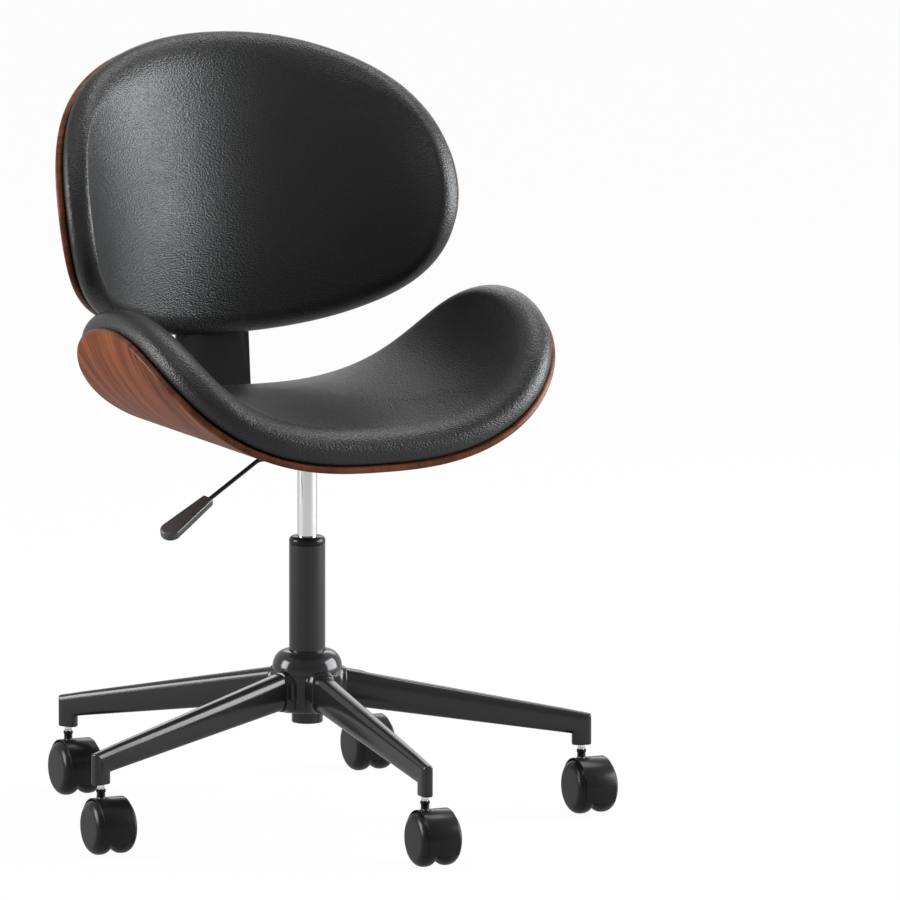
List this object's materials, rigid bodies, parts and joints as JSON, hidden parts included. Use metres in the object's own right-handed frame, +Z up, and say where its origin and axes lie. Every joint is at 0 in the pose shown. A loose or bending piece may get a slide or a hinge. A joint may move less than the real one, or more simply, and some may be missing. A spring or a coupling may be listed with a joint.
{
  "type": "office chair",
  "caption": "Swivel office chair with a bent-plywood bucket seat and backrest, leather pads, height lever and rolling star base.",
  "frame": {"origin": "on the floor under the middle of the chair's footprint", "axes": "+Z up along the column, -Y the way the sitter faces, +X to the sitter's left"},
  "size_m": [0.6388, 0.6503, 0.8535],
  "materials": {
    "black_paint": "satin black powder coat",
    "black_plastic": "satin black moulding",
    "black_oxide_steel": "black oxide",
    "chrome": "polished",
    "walnut_ply": "satin lacquered walnut veneer",
    "black_leather": "fine grain, semi-gloss"
  },
  "bodies": {
    "base": {"base_hub": "black_paint", "leg_1": "black_paint", "leg_2": "black_paint", "leg_3": "black_paint", "leg_4": "black_paint", "leg_5": "black_paint", "column_tube": "black_paint", "column_cap": "black_plastic", "thrust_bearing": "black_oxide_steel", "caster_stem_1": "chrome", "caster_stem_2": "chrome", "caster_stem_3": "chrome", "caster_stem_4": "chrome", "caster_stem_5": "chrome"},
    "rod": {"piston_rod": "chrome", "retaining_clip": "black_oxide_steel"},
    "seat": {"gas_cylinder": "chrome", "seat_plate": "black_paint", "seat_shell": "walnut_ply", "seat_pad": "black_leather", "back_bracket": "black_paint", "back_shell": "walnut_ply", "back_pad": "black_leather", "bracket_bolt_1": "black_oxide_steel", "bracket_bolt_2": "black_oxide_steel", "bracket_bolt_3": "black_oxide_steel", "bracket_bolt_4": "black_oxide_steel", "plate_screw_1": "black_oxide_steel", "plate_screw_2": "black_oxide_steel", "plate_screw_3": "black_oxide_steel", "plate_screw_4": "black_oxide_steel", "lever_pin": "black_oxide_steel"},
    "lever": {"lever_rod": "black_paint", "lever_handle": "black_plastic"},
    "release": {"release_pin": "black_oxide_steel"},
    "caster_1": {"caster_hood_1": "black_plastic", "caster_axle_1": "chrome"},
    "wheel_1_left": {"wheel_1_left": "black_plastic"},
    "wheel_1_right": {"wheel_1_right": "black_plastic"},
    "caster_2": {"caster_hood_2": "black_plastic", "caster_axle_2": "chrome"},
    "wheel_2_left": {"wheel_2_left": "black_plastic"},
    "wheel_2_right": {"wheel_2_right": "black_plastic"},
    "caster_3": {"caster_hood_3": "black_plastic", "caster_axle_3": "chrome"},
    "wheel_3_left": {"wheel_3_left": "black_plastic"},
    "wheel_3_right": {"wheel_3_right": "black_plastic"},
    "caster_4": {"caster_hood_4": "black_plastic", "caster_axle_4": "chrome"},
    "wheel_4_left": {"wheel_4_left": "black_plastic"},
    "wheel_4_right": {"wheel_4_right": "black_plastic"},
    "caster_5": {"caster_hood_5": "black_plastic", "caster_axle_5": "chrome"},
    "wheel_5_left": {"wheel_5_left": "black_plastic"},
    "wheel_5_right": {"wheel_5_right": "black_plastic"}
  },
  "joints": [
    {"name": "seat_swivel", "type": "hinge", "parent": "base", "child": "rod", "pos_m": [0, 0.0385, 0.12], "axis": [0, 0, 1], "continuous": true},
    {"name": "seat_lift", "type": "slide", "parent": "rod", "child": "seat", "axis": [0, 0, 1], "range_m": [-0.065, 0.03]},
    {"name": "lever_hinge", "type": "hinge", "parent": "seat", "child": "lever", "pos_m": [-0.024, 0.0385, 0.4074], "axis": [0, 1, 0], "range_deg": [0, 3.5], "stiffness_Nm_per_rad": 2},
    {"name": "pin_press", "type": "slide", "parent": "seat", "child": "release", "axis": [0, 0, -1], "range_m": [0, 0.0015]},
    {"name": "caster_1_swivel", "type": "hinge", "parent": "base", "child": "caster_1", "pos_m": [0, -0.2715, 0.07], "axis": [0, 0, 1], "continuous": true},
    {"name": "wheel_1_left_roll", "type": "hinge", "parent": "caster_1", "child": "wheel_1_left", "pos_m": [-0.0131, -0.2925, 0.0307], "axis": [1, 0, 0], "continuous": true},
    {"name": "wheel_1_right_roll", "type": "hinge", "parent": "caster_1", "child": "wheel_1_right", "pos_m": [0.0131, -0.2925, 0.0307], "axis": [1, 0, 0], "continuous": true},
    {"name": "caster_2_swivel", "type": "hinge", "parent": "base", "child": "caster_2", "pos_m": [0.29483, -0.05729, 0.07], "axis": [0, 0, 1], "continuous": true},
    {"name": "wheel_2_left_roll", "type": "hinge", "parent": "caster_2", "child": "wheel_2_left", "pos_m": [0.28173, -0.0783, 0.0307], "axis": [1, 0, 0], "continuous": true},
    {"name": "wheel_2_right_roll", "type": "hinge", "parent": "caster_2", "child": "wheel_2_right", "pos_m": [0.30793, -0.0783, 0.0307], "axis": [1, 0, 0], "continuous": true},
    {"name": "caster_3_swivel", "type": "hinge", "parent": "base", "child": "caster_3", "pos_m": [0.18221, 0.2893, 0.07], "axis": [0, 0, 1], "continuous": true},
    {"name": "wheel_3_left_roll", "type": "hinge", "parent": "caster_3", "child": "wheel_3_left", "pos_m": [0.16911, 0.2683, 0.0307], "axis": [1, 0, 0], "continuous": true},
    {"name": "wheel_3_right_roll", "type": "hinge", "parent": "caster_3", "child": "wheel_3_right", "pos_m": [0.19531, 0.2683, 0.0307], "axis": [1, 0, 0], "continuous": true},
    {"name": "caster_4_swivel", "type": "hinge", "parent": "base", "child": "caster_4", "pos_m": [-0.18221, 0.2893, 0.07], "axis": [0, 0, 1], "continuous": true},
    {"name": "wheel_4_left_roll", "type": "hinge", "parent": "caster_4", "child": "wheel_4_left", "pos_m": [-0.19531, 0.2683, 0.0307], "axis": [1, 0, 0], "continuous": true},
    {"name": "wheel_4_right_roll", "type": "hinge", "parent": "caster_4", "child": "wheel_4_right", "pos_m": [-0.16911, 0.2683, 0.0307], "axis": [1, 0, 0], "continuous": true},
    {"name": "caster_5_swivel", "type": "hinge", "parent": "base", "child": "caster_5", "pos_m": [-0.29483, -0.05729, 0.07], "axis": [0, 0, 1], "continuous": true},
    {"name": "wheel_5_left_roll", "type": "hinge", "parent": "caster_5", "child": "wheel_5_left", "pos_m": [-0.30793, -0.0783, 0.0307], "axis": [1, 0, 0], "continuous": true},
    {"name": "wheel_5_right_roll", "type": "hinge", "parent": "caster_5", "child": "wheel_5_right", "pos_m": [-0.28173, -0.0783, 0.0307], "axis": [1, 0, 0], "continuous": true}
  ],
  "couplings": [
    {"joint": "pin_press", "follows": "lever_hinge", "m_per_rad": 0.024}
  ]
}
